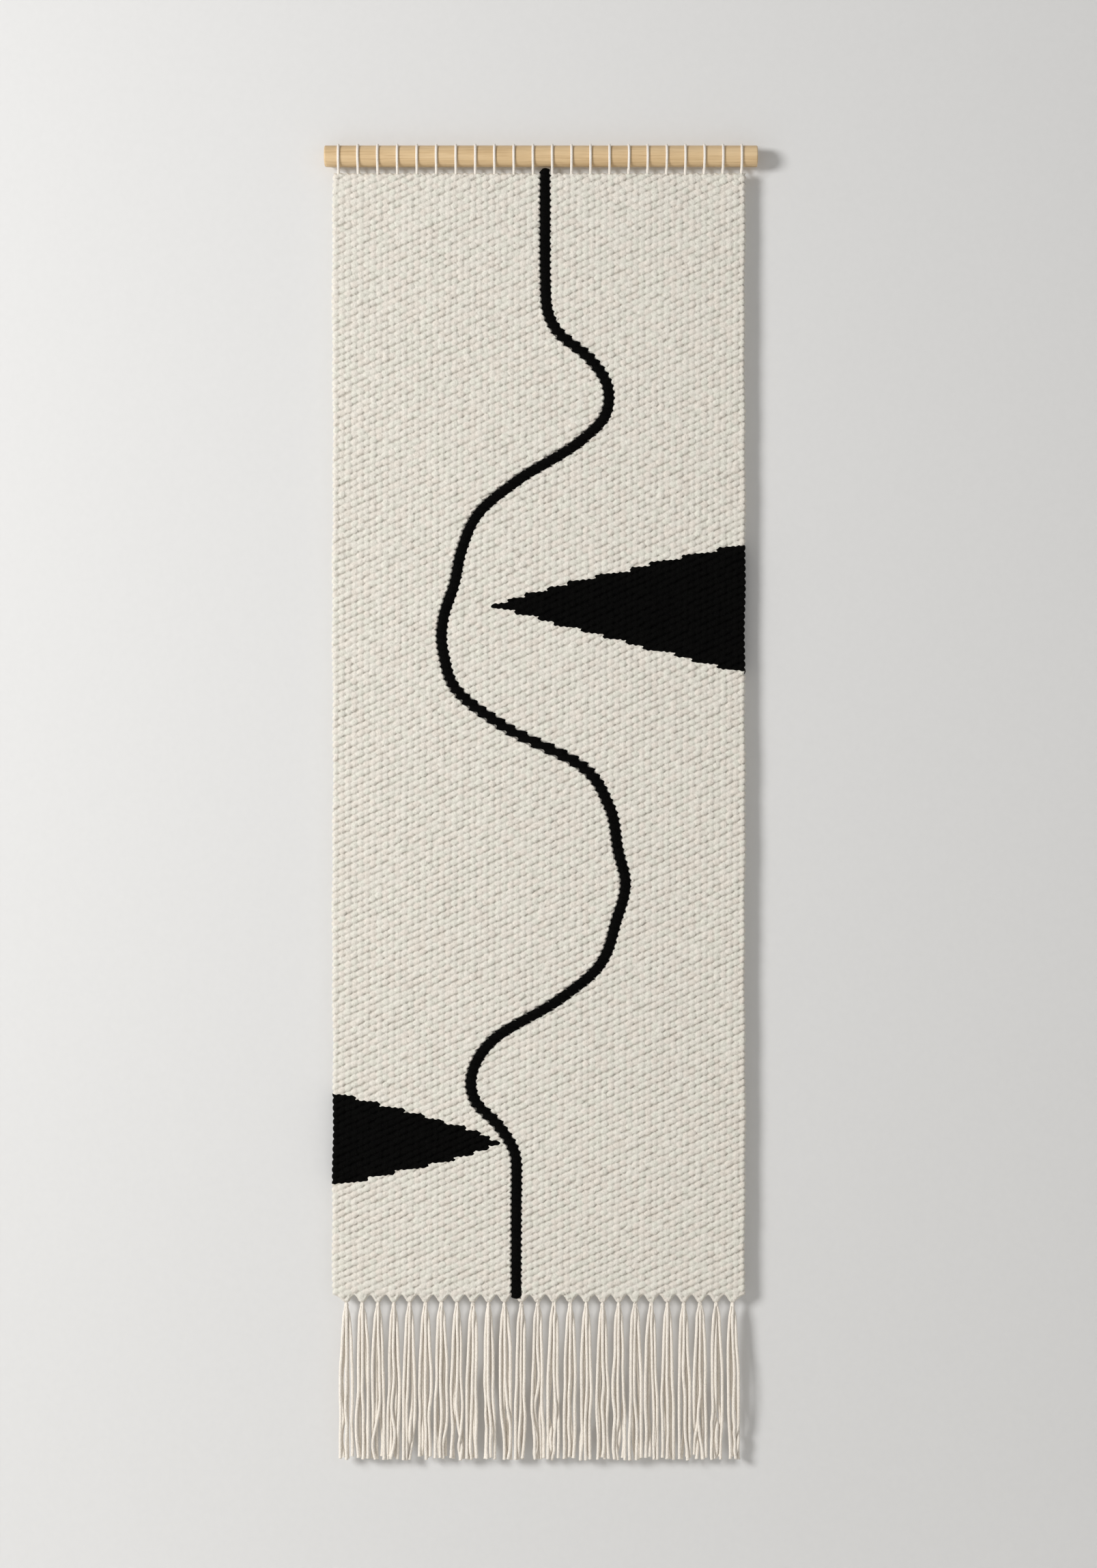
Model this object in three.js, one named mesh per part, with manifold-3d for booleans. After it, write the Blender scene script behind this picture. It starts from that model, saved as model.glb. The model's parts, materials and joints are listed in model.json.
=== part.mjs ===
// Tapestry wall hanging: a woven cloth with a curving black line and two black
// wedges, hung by cord loops from a round wooden rod, with a fringe of tassels.
// Millimetres. +Z is up, the front faces -Y, and the wall is on the +Y side.
// The origin is on the rod's axis, halfway along it.

import * as THREE from "three";
import { mergeVertices } from "three/addons/utils/BufferGeometryUtils.js";
import Module from "manifold-3d";

const wasm = await Module();
wasm.setup();

// Clearances
const SEAT_GAP = 0.3; // between pieces that touch
const LOOP_SLACK = 0.5; // between a loop and the rod inside it

// Rod
const ROD_OVERHANG = 12; // past the cloth at each end, with the cloth in the middle
const ROD_DIAMETER = 25;
const ROD_CHAMFER = 0.8;
const ROD_SIDES = 48;

// Cloth
const CLOTH_WIDTH = 484;
const CLOTH_LENGTH = 1315; // from the top edge to the notches of the hem
const CLOTH_THICKNESS = 8;
const CLOTH_GAP = 7.5; // between the rod's underside and the cloth's top edge
const CLOTH_SHIFT = -2.4; // the cloth's middle, along the rod
const HEM_POINT_DEPTH = 6.5; // how far the hem's points reach below its notches

// Hanging loops
const LOOP_COUNT = 22;
const LOOP_CORD = 3;
const LOOP_INSET = 5.5; // from the cloth's side edges to the outermost loops
const LOOP_CROWDING = 3.2; // how far right of even spacing the middle loops sit
const LOOP_LEG_GAP = 0.8; // between a loop's two legs where they enter the cloth
const LOOP_FOOT = 0.8; // the upright end of each leg
const LOOP_SIDES = 8;
const LOOP_STEPS = 18;

// Black line: its centreline, as shares of the cloth's width and length
const LINE_WIDTH = 12;
const LINE_THICKNESS = 10;
const LINE_ROD_GAP = 1.1; // between its rounded top and the rod's underside
const LINE_TAIL = 5; // how far its rounded bottom hangs below the hem's notches
const LINE_STEPS = 96;
const LINE_CAP_STEPS = 6;
const LINE_KNOTS = [
  [0.515, 0], [0.515, 0.053], [0.517, 0.11], [0.546, 0.141], [0.625, 0.166],
  [0.666, 0.189], [0.664, 0.213], [0.6, 0.239], [0.445, 0.275], [0.362, 0.3],
  [0.313, 0.336], [0.296, 0.365], [0.267, 0.399], [0.267, 0.427], [0.302, 0.461],
  [0.42, 0.494], [0.608, 0.53], [0.67, 0.564], [0.693, 0.605], [0.71, 0.633],
  [0.689, 0.665], [0.631, 0.713], [0.544, 0.738], [0.389, 0.773], [0.34, 0.802],
  [0.344, 0.825], [0.402, 0.849], [0.443, 0.873], [0.445, 0.935], [0.445, 1],
];

// Black wedges: the side they start on, the space between tip and line, and the
// heights of the tip and of the base, as shares of the cloth's length
const WEDGE_TIP_HEIGHT = 8;
const WEDGES = [
  { name: "wedge_right", side: 1, tipSpace: 42, tip: 0.386, base: [0.33, 0.446] },
  { name: "wedge_left", side: -1, tipSpace: 2, tip: 0.864, base: [0.819, 0.903] },
];

// Fringe: two runs of tassels, either side of the line's tail
const TASSELS_LEFT = 11;
const TASSELS_RIGHT = 14;
const FRINGE_INSET_LEFT = 16; // from the cloth's side edges to the outermost necks
const FRINGE_INSET_RIGHT = 14.9;
const TAIL_SPACE_LEFT = 7.8; // from the line's sides to the nearest necks
const TAIL_SPACE_RIGHT = 0.2;
const TASSEL_LENGTH = 188;
const TASSEL_NECK = 5.4;
const TASSEL_SPACE = 2; // between two neighbours at their widest
const TASSEL_DEPTH = 10;
const TASSEL_NECK_SHARE = 0.03; // of its length, before it starts to flare
const TASSEL_SIDES = 8;
const TASSEL_DOME_STEPS = 3;

// Worked out from the sizes above
const rodLength = CLOTH_WIDTH + 2 * ROD_OVERHANG;
const clothLeft = CLOTH_SHIFT - CLOTH_WIDTH / 2;
const clothRight = clothLeft + CLOTH_WIDTH;
const clothTop = -ROD_DIAMETER / 2 - CLOTH_GAP;
const hemNotch = clothTop - CLOTH_LENGTH;
const hemPoint = hemNotch - HEM_POINT_DEPTH;
const tasselPivot = hemPoint - SEAT_GAP - TASSEL_NECK / 2;
const tasselPlaces = [
  ...run(TASSELS_LEFT, clothLeft + FRINGE_INSET_LEFT, tailSide(-1) - TAIL_SPACE_LEFT),
  ...run(TASSELS_RIGHT, tailSide(1) + TAIL_SPACE_RIGHT, clothRight - FRINGE_INSET_RIGHT),
];
const tasselWidth = smallestStep(tasselPlaces) - TASSEL_SPACE;

const CREAM = { color: 0xe6e1d6, roughness: 0.95, metalness: 0 };
const BLACK = { color: 0x0c0c0b, roughness: 0.9, metalness: 0 };
const WOOD = { color: 0xd2b688, roughness: 0.6, metalness: 0 };

function mesh(name, geometry, look) {
  const made = new THREE.Mesh(geometry, new THREE.MeshStandardMaterial(look));
  made.name = name;
  return made;
}

function numbered(stem, index) {
  return `${stem}_${String(index + 1).padStart(2, "0")}`;
}

// A share of the cloth's width and length, as a place in X and Z
function onCloth([across, down]) {
  return new THREE.Vector2(clothLeft + across * CLOTH_WIDTH, clothTop - down * CLOTH_LENGTH);
}

// A flat outline in X and Z, made into a slab centred on Y = 0
function slab(outline, thickness) {
  const options = { depth: thickness, bevelEnabled: false };
  const geometry = new THREE.ExtrudeGeometry(new THREE.Shape(outline), options);
  geometry.translate(0, 0, -thickness / 2);
  geometry.rotateX(Math.PI / 2);
  return geometry;
}

function toSolid(geometry) {
  const bare = geometry.clone();
  bare.deleteAttribute("normal");
  bare.deleteAttribute("uv");
  const merged = mergeVertices(bare, 1e-4);
  return new wasm.Manifold(new wasm.Mesh({
    numProp: 3,
    vertProperties: new Float32Array(merged.attributes.position.array),
    triVerts: new Uint32Array(merged.index.array),
  }));
}

function toGeometry(solid) {
  const shape = solid.getMesh();
  const geometry = new THREE.BufferGeometry();
  geometry.setAttribute("position", new THREE.BufferAttribute(shape.vertProperties, 3));
  geometry.setIndex(new THREE.BufferAttribute(shape.triVerts, 1));
  geometry.computeVertexNormals();
  return geometry;
}

// Evenly spaced places from one to another, both counted
function run(count, from, to) {
  return Array.from({ length: count }, (_, i) => from + (i / (count - 1)) * (to - from));
}

function smallestStep(places) {
  return Math.min(...places.slice(1).map((place, i) => place - places[i]));
}

// One side of the line where it crosses the hem
function tailSide(side) {
  return onCloth(LINE_KNOTS[LINE_KNOTS.length - 1]).x + (side * LINE_WIDTH) / 2;
}

function rod() {
  const r = ROD_DIAMETER / 2;
  const half = rodLength / 2;
  const profile = [
    new THREE.Vector2(0, -half),
    new THREE.Vector2(r - ROD_CHAMFER, -half),
    new THREE.Vector2(r, -half + ROD_CHAMFER),
    new THREE.Vector2(r, half - ROD_CHAMFER),
    new THREE.Vector2(r - ROD_CHAMFER, half),
    new THREE.Vector2(0, half),
  ];
  const made = mesh("rod", new THREE.LatheGeometry(profile, ROD_SIDES), WOOD);
  made.rotation.z = -Math.PI / 2;
  return made;
}

// A loop's centreline: up from the cloth, round the rod and back down
function loopPath() {
  const r = ROD_DIAMETER / 2 + LOOP_SLACK + LOOP_CORD / 2;
  const legs = new THREE.Vector2((LOOP_CORD + LOOP_LEG_GAP) / 2, clothTop + SEAT_GAP);
  const reach = legs.length();
  const fromBelow = Math.acos(r / reach) + Math.atan2(legs.x, -legs.y);
  const points = [
    new THREE.Vector3(0, -legs.x, legs.y),
    new THREE.Vector3(0, -legs.x, legs.y + LOOP_FOOT),
  ];
  for (let i = 0; i <= LOOP_STEPS; i += 1) {
    const angle = fromBelow + (i / LOOP_STEPS) * 2 * (Math.PI - fromBelow);
    points.push(new THREE.Vector3(0, -r * Math.sin(angle), -r * Math.cos(angle)));
  }
  points.push(new THREE.Vector3(0, legs.x, legs.y + LOOP_FOOT));
  points.push(new THREE.Vector3(0, legs.x, legs.y));
  return new THREE.CatmullRomCurve3(points, false, "centripetal");
}

function loopPlace(index) {
  const side = (2 * index) / (LOOP_COUNT - 1) - 1;
  const span = CLOTH_WIDTH / 2 - LOOP_INSET;
  return CLOTH_SHIFT / 2 + side * span + LOOP_CROWDING * (1 - side * side);
}

function loops() {
  const section = [];
  for (let i = 0; i < LOOP_SIDES; i += 1) {
    const turn = (i / LOOP_SIDES) * 2 * Math.PI;
    section.push(new THREE.Vector2(Math.cos(turn), Math.sin(turn)).multiplyScalar(LOOP_CORD / 2));
  }
  const options = { steps: LOOP_STEPS, extrudePath: loopPath(), bevelEnabled: false };
  const group = new THREE.Group();
  for (let i = 0; i < LOOP_COUNT; i += 1) {
    const geometry = new THREE.ExtrudeGeometry(new THREE.Shape(section), options);
    const loop = mesh(numbered("loop", i), geometry, CREAM);
    loop.position.x = loopPlace(i);
    group.add(loop);
  }
  return group;
}

function linePoints() {
  const knots = LINE_KNOTS.map((knot) => onCloth(knot));
  const curve = new THREE.CatmullRomCurve3(
    knots.map((knot) => new THREE.Vector3(knot.x, knot.y, 0)), false, "centripetal",
  );
  return curve.getSpacedPoints(LINE_STEPS).map((point) => new THREE.Vector2(point.x, point.y));
}

// The line's edge on one side: its centreline moved sideways, from top to bottom
function lineEdge(points, distance) {
  return points.map((point, i) => {
    const before = points[Math.max(i - 1, 0)];
    const after = points[Math.min(i + 1, points.length - 1)];
    const along = after.clone().sub(before).normalize();
    return new THREE.Vector2(point.x - along.y * distance, point.y + along.x * distance);
  });
}

function halfRound(centre, radius, from, to) {
  const points = [];
  for (let i = 1; i < LINE_CAP_STEPS; i += 1) {
    const turn = from + (i / LINE_CAP_STEPS) * (to - from);
    points.push(new THREE.Vector2(
      centre.x + radius * Math.cos(turn), centre.y + radius * Math.sin(turn),
    ));
  }
  return points;
}

function line() {
  const points = linePoints();
  const half = LINE_WIDTH / 2;
  const first = points[0];
  const last = points[points.length - 1];
  first.y = -ROD_DIAMETER / 2 - LINE_ROD_GAP - half;
  last.y = hemNotch - LINE_TAIL + half;
  const outline = [
    ...lineEdge(points, half),
    ...halfRound(last, half, 0, -Math.PI),
    ...lineEdge(points, -half).reverse(),
    ...halfRound(first, half, Math.PI, 0),
  ];
  return mesh("line", slab(outline, LINE_THICKNESS), BLACK);
}

function clothOutline() {
  const flat = TASSEL_NECK / 2;
  const outline = [
    new THREE.Vector2(clothLeft, clothTop),
    new THREE.Vector2(clothLeft, hemNotch),
  ];
  tasselPlaces.forEach((x, i) => {
    outline.push(new THREE.Vector2(x - flat, hemPoint));
    outline.push(new THREE.Vector2(x + flat, hemPoint));
    if (i + 1 < tasselPlaces.length) {
      outline.push(new THREE.Vector2((x + tasselPlaces[i + 1]) / 2, hemNotch));
    }
  });
  outline.push(new THREE.Vector2(clothRight, hemNotch));
  outline.push(new THREE.Vector2(clothRight, clothTop));
  return outline;
}

// The furthest that the line reaches towards one side, beside a wedge's tip
function lineReach(side, height) {
  const edge = lineEdge(linePoints(), (side * LINE_WIDTH) / 2);
  const beside = edge.filter((point) => Math.abs(point.y - height) < 2 * WEDGE_TIP_HEIGHT);
  return side * Math.max(...beside.map((point) => side * point.x));
}

function wedgeOutline(wedge, grow) {
  const edge = wedge.side > 0 ? clothRight + grow : clothLeft - grow;
  const tip = onCloth([0, wedge.tip]);
  tip.x = lineReach(wedge.side, tip.y) + wedge.side * wedge.tipSpace;
  const half = WEDGE_TIP_HEIGHT / 2 + grow;
  const high = onCloth([0, wedge.base[0]]).y + grow;
  const low = onCloth([0, wedge.base[1]]).y - grow;
  return [
    new THREE.Vector2(edge, low),
    new THREE.Vector2(edge, high),
    new THREE.Vector2(tip.x - wedge.side * grow, tip.y + half),
    new THREE.Vector2(tip.x - wedge.side * grow, tip.y - half),
  ];
}

// All the cloth on one side of the line, with the wedge on that side cut out
function creamField(name, side) {
  const past = CLOTH_WIDTH;
  const edge = lineEdge(linePoints(), side * (LINE_WIDTH / 2 + SEAT_GAP));
  const first = edge[0];
  const last = edge[edge.length - 1];
  const half = [
    new THREE.Vector2(first.x, clothTop + past),
    ...edge,
    new THREE.Vector2(last.x, hemPoint - past),
    new THREE.Vector2(side * past * 2, hemPoint - past),
    new THREE.Vector2(side * past * 2, clothTop + past),
  ];
  const cloth = toSolid(slab(clothOutline(), CLOTH_THICKNESS));
  let field = cloth.intersect(toSolid(slab(half, CLOTH_THICKNESS * 2)));
  for (const wedge of WEDGES.filter((each) => each.side === side)) {
    field = field.subtract(toSolid(slab(wedgeOutline(wedge, SEAT_GAP), CLOTH_THICKNESS * 2)));
  }
  return mesh(name, toGeometry(field), CREAM);
}

function wedges() {
  const group = new THREE.Group();
  for (const wedge of WEDGES) {
    group.add(mesh(wedge.name, slab(wedgeOutline(wedge, 0), CLOTH_THICKNESS), BLACK));
  }
  return group;
}

// A tassel's half outline about its own axis, with its pivot at 0
function tasselProfile() {
  const neck = TASSEL_NECK / 2;
  const profile = [new THREE.Vector2(0, neck - TASSEL_LENGTH)];
  profile.push(new THREE.Vector2(tasselWidth / 2, neck - TASSEL_LENGTH));
  profile.push(new THREE.Vector2(tasselWidth * 0.32, -TASSEL_LENGTH * 0.35));
  profile.push(new THREE.Vector2(neck, -TASSEL_LENGTH * TASSEL_NECK_SHARE));
  for (let i = 0; i < TASSEL_DOME_STEPS; i += 1) {
    const turn = (i / TASSEL_DOME_STEPS) * (Math.PI / 2);
    profile.push(new THREE.Vector2(neck * Math.cos(turn), neck * Math.sin(turn)));
  }
  profile.push(new THREE.Vector2(0, neck));
  return profile;
}

function tassels() {
  const group = new THREE.Group();
  tasselPlaces.forEach((x, i) => {
    const geometry = new THREE.LatheGeometry(tasselProfile(), TASSEL_SIDES);
    geometry.rotateX(Math.PI / 2);
    geometry.scale(1, TASSEL_DEPTH / tasselWidth, 1);
    const tassel = mesh(numbered("tassel", i), geometry, CREAM);
    tassel.position.set(x, 0, tasselPivot);
    group.add(tassel);
  });
  return group;
}

const hanging = new THREE.Group();
hanging.add(rod());
hanging.add(loops());
hanging.add(creamField("cream_left", -1));
hanging.add(creamField("cream_right", 1));
hanging.add(wedges());
hanging.add(line());
hanging.add(tassels());

export default hanging;
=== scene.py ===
"""The looks of the tapestry wall hanging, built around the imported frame.

Metres, +Z up. The front faces -Y and the wall is on the +Y side. The woven
cloth is a relief of plump slanted stitches, front and back, on one grid.
"""

import json
import math

import bpy
import numpy as np
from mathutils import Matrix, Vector

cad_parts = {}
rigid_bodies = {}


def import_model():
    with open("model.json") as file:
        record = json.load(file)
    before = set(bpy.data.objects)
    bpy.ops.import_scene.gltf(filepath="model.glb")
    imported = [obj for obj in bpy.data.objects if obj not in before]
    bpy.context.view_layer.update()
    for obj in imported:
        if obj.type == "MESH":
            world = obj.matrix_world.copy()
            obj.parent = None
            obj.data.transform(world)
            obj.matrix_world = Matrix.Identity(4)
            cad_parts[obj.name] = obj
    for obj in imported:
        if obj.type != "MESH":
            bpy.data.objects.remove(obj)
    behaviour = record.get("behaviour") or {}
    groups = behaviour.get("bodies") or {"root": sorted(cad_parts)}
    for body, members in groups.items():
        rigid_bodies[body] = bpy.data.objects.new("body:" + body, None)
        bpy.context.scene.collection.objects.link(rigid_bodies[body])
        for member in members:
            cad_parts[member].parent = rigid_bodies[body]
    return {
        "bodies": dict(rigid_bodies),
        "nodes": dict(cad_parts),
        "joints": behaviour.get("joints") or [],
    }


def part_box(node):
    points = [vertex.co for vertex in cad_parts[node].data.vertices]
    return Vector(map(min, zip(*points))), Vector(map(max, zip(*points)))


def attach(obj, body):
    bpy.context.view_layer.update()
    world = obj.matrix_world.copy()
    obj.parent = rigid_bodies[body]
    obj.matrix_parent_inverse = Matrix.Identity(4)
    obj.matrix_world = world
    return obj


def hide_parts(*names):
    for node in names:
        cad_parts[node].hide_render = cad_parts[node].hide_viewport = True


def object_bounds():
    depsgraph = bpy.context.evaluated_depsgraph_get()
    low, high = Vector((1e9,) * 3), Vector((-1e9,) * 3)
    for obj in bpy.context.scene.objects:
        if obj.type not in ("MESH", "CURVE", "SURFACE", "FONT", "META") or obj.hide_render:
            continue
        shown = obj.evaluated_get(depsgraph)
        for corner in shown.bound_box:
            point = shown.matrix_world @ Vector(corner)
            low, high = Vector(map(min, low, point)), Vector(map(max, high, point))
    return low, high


MM = 0.001
SEED = 11

# View from the front: what it takes in, and its middle from the rod's middle
VIEW_HEIGHT = 1.8398
VIEW_ACROSS = 8.8 * MM
VIEW_DOWN = 736.4 * MM
CAMERA_DISTANCE = 3.6
SENSOR = 36.0

# Weave
COLUMNS = 66
ROWS = 164
CELLS_ACROSS = 7  # grid cells in one stitch
CELLS_DOWN = 8
RISE = 0.408  # how much of a row a stitch rises per column
STITCH_LENGTH = 6.6 * MM  # half lengths of the oval that makes a stitch
STITCH_WIDTH = 3.85 * MM
STITCH_HEIGHT = 2.6 * MM
STITCH_TWIST = math.radians(-3)
STITCH_SWAY = math.radians(5)  # how much their directions differ
STITCH_WANDER = 0.35 * MM
CORE = 1.8 * MM  # half thickness of the cloth at the deepest creases
SELVEDGE = 2.8 * MM  # radius of the rounded edges
SCALLOP = 2.6 * MM
EDGE_FADE = 9 * MM  # how far in from the sides the scallops reach
EDGE_ROUND = 3.0 * MM  # radius of the cloth's top and bottom edges
SWELL = 0.9 * MM  # slow unevenness over the whole cloth
SWELL_FADE = 60 * MM
HEM_POINT = 6.0 * MM  # how far the frame's hem points reach below its notches
HEM_DROP = 8.4 * MM  # the same for the woven hem
HEM_NECK = 2.3 * MM  # half width of a point
HEM_STRETCH = 20 * MM  # height of the rows that are drawn down to the points
HEM_GATHER = 9 * MM  # height of the rows that are drawn in to them
HEM_CORD = 1.7 * MM
HEM_CORD_PITCH = 5.5 * MM
PIECE_CELLS = 46000  # the most grid cells in one piece of a field

# Pattern, as shares of the cloth's width and length
LINE_KNOTS = [
    (0.515, 0), (0.515, 0.053), (0.517, 0.11), (0.546, 0.141), (0.625, 0.166),
    (0.664, 0.187), (0.67, 0.2), (0.656, 0.219), (0.6, 0.239), (0.445, 0.275),
    (0.362, 0.3), (0.313, 0.336), (0.296, 0.365), (0.268, 0.398), (0.264, 0.413),
    (0.27, 0.43), (0.302, 0.461), (0.42, 0.494), (0.608, 0.53), (0.67, 0.564),
    (0.693, 0.605), (0.71, 0.633), (0.689, 0.665), (0.631, 0.713), (0.544, 0.738),
    (0.389, 0.773), (0.342, 0.798), (0.335, 0.812), (0.348, 0.828), (0.402, 0.849),
    (0.441, 0.873), (0.446, 0.89), (0.445, 0.935), (0.445, 1),
]
WEDGES = [  # name, side, tip (across, down), base (high, low), bluntness above and below
    ("wedge_right", 1, (0.382, 0.386), (0.33, 0.446), (1.2, 1.0)),
    ("wedge_left", -1, (0.408, 0.8645), (0.819, 0.903), (1.3, 1.4)),
]

LINE_HALF_WIDTH = 5.2 * MM
LINE_TOOTH = 2.2 * MM  # how far its points reach out between the stitches beside it
LINE_HALF_DEPTH = 5.4 * MM
LINE_BED = 2.6 * MM  # half width of the strip under the line that has no weave
LINE_RIB = 7.25 * MM
LINE_RISE = 6.4 * MM  # how far it stands above the cloth
LINE_TAIL = 5.0 * MM  # how far it hangs below the hem's notches
WEDGE_STEP = 4.7 * MM
WEDGE_TILT = 0.09  # slope of the steps' flats
WEDGE_WAVE = 1.5 * MM  # how far the steps' flats follow the stitches
WEDGE_UNEVEN = 0.022  # how much the steps' lengths differ, as a share of the wedge's

# Fringe
STRANDS = 5
STRAND_RADIUS = 1.9 * MM
STRAND_SIDES = 12
STRAND_STEP = 1.5 * MM
STRAND_PLIES = 3
STRAND_TOP = 0.5 * MM  # from the pivot up to the strands' tops
STRAND_EXTRA = 0.1 * MM  # how much longer they are than from the pivot to the tassel's foot
PLY_PITCH = 6.5 * MM
FRINGE_DEPTH = 4.6 * MM  # how far strands may lie in front of or behind the middle
NECK_RADIUS = 1.7 * MM
NECK_TOP = 1.8 * MM  # from the pivot down to the neck's winding
NECK_HEIGHT = 2.2 * MM
NECK_CORD = 0.85 * MM

# Hanging loops
LOOP_CORD = 1.5 * MM  # radius
LOOP_SQUEEZE = 0.68  # how flat the cord is pressed
LOOP_FOOT = (1.6 * MM, 2.4 * MM)  # its ends, from the cloth's middle and below its top edge
LOOP_PITCH = 9 * MM

# Rod: distance in from the end and change of radius, in millimetres
ROD_ENDS = [(0.0, -1.3), (0.25, -0.55), (0.8, -0.15), (1.5, -0.02)]
ROD_PLAIN = 2.2 * MM  # where the worn ends stop
ROD_WEAR = 1.5 * MM  # depth of the worn corner at the left end

# Stage
WALL_GAP = 4.0 * MM  # from the rod's back to the wall
WALL_HALF_WIDTH, WALL_TOP = 1.1, 0.45
FLOOR_GAP = 0.17  # from the lowest point of the object to the floor
FLOOR_HALF_WIDTH, FLOOR_FRONT, FLOOR_BACK = 3, -4, 3
LIGHT_TARGET = (0, 0, -0.75)
LIGHTS = [  # name, place, size, power, colour
    ("key", (-3.3, -3.1, 0.25), 1.4, 178, (1.0, 0.995, 0.985)),
    ("fill", (1.8, -3.0, -0.2), 2.4, 8, (1.0, 0.99, 0.98)),
    ("back", (0.8, 2.6, 0.4), 2.0, 40, (1, 1, 1)),
]
WORLD_COLOUR = (1.0, 0.985, 0.96, 1)
WORLD_STRENGTH = 0.35


def smoothstep(low, high, value):
    """A smooth rise from 0 at the low value to 1 at the high one."""
    t = np.clip((value - low) / (high - low), 0, 1)
    return t * t * (3 - 2 * t)


def rounded(share, least):
    """The height of a quarter circle, from the least at 0 to 1 at 1 and beyond."""
    return np.sqrt(np.clip(1 - (1 - np.clip(share, 0, 1)) ** 2, least, 1))


def mesh_object(name, verts, faces, smooth=None):
    """A mesh from an array of points and an array of four-cornered faces."""
    mesh = bpy.data.meshes.new(name)
    mesh.vertices.add(len(verts))
    mesh.vertices.foreach_set("co", np.asarray(verts, np.float32).ravel())
    mesh.loops.add(faces.size)
    mesh.loops.foreach_set("vertex_index", faces.astype(np.int32).ravel())
    mesh.polygons.add(len(faces))
    mesh.polygons.foreach_set("loop_start", np.arange(0, faces.size, 4, dtype=np.int32))
    if smooth is None:
        smooth = np.ones(len(faces), bool)
    mesh.polygons.foreach_set("use_smooth", smooth)
    mesh.update(calc_edges=True)
    mesh.validate()
    made = bpy.data.objects.new(name, mesh)
    bpy.context.scene.collection.objects.link(made)
    return made


def mark(made, name, values):
    """Keeps one number per point, for the material."""
    layer = made.data.attributes.new(name, "FLOAT", "POINT")
    layer.data.foreach_set("value", np.asarray(values, np.float32))


# ---------------------------------------------------------------- materials

class Nodes:
    """Short calls that build a node tree."""

    def __init__(self, name):
        self.material = bpy.data.materials.new(name)
        self.material.use_nodes = True
        self.tree = self.material.node_tree
        self.shader = self.tree.nodes["Principled BSDF"]
        self.coords = self.tree.nodes.new("ShaderNodeTexCoord").outputs["Object"]

    def add(self, kind, inputs=(), **settings):
        node = self.tree.nodes.new(kind)
        for key, value in settings.items():
            setattr(node, key, value)
        for key, value in dict(inputs).items():
            if isinstance(value, bpy.types.NodeSocket):
                self.tree.links.new(value, node.inputs[key])
            else:
                node.inputs[key].default_value = value
        return node

    def stretched(self, scale):
        return self.add("ShaderNodeMapping", {"Vector": self.coords, "Scale": scale}).outputs[0]

    def noise(self, scale, detail=2.0, rough=0.5, vector=None):
        vector = vector or self.coords
        inputs = {"Vector": vector, "Scale": scale, "Detail": detail, "Roughness": rough}
        return self.add("ShaderNodeTexNoise", inputs).outputs["Fac"]

    def ramp(self, factor, stops):
        node = self.add("ShaderNodeValToRGB", {"Fac": factor})
        node.color_ramp.elements[0].position = stops[0][0]
        node.color_ramp.elements[0].color = (*stops[0][1], 1)
        node.color_ramp.elements[1].position = stops[-1][0]
        node.color_ramp.elements[1].color = (*stops[-1][1], 1)
        for place, colour in stops[1:-1]:
            node.color_ramp.elements.new(place).color = (*colour, 1)
        return node.outputs["Color"]

    def mix(self, factor, a, b, blend="MIX"):
        node = self.add("ShaderNodeMix", data_type="RGBA", blend_type=blend)
        for socket, value in ((node.inputs[0], factor), (node.inputs[6], a), (node.inputs[7], b)):
            if isinstance(value, bpy.types.NodeSocket):
                self.tree.links.new(value, socket)
            elif socket == node.inputs[0]:
                socket.default_value = value
            else:
                socket.default_value = (*value, 1)
        return node.outputs[2]

    def math(self, operation, a, b=0.0):
        node = self.add("ShaderNodeMath", operation=operation)
        for socket, value in ((node.inputs[0], a), (node.inputs[1], b)):
            if isinstance(value, bpy.types.NodeSocket):
                self.tree.links.new(value, socket)
            else:
                socket.default_value = value
        return node.outputs[0]

    def attribute(self, name):
        return self.add("ShaderNodeAttribute", attribute_name=name).outputs["Fac"]

    def bump(self, height, distance, strength=1.0, normal=None):
        inputs = {"Height": height, "Distance": distance, "Strength": strength}
        if normal:
            inputs["Normal"] = normal
        return self.add("ShaderNodeBump", inputs).outputs["Normal"]

    def finish(self, colour, roughness, normal, **constants):
        self.tree.links.new(colour, self.shader.inputs["Base Color"])
        if isinstance(roughness, bpy.types.NodeSocket):
            self.tree.links.new(roughness, self.shader.inputs["Roughness"])
        else:
            self.shader.inputs["Roughness"].default_value = roughness
        self.tree.links.new(normal, self.shader.inputs["Normal"])
        for key, value in constants.items():
            self.shader.inputs[key.replace("_", " ")].default_value = value
        return self.material


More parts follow.
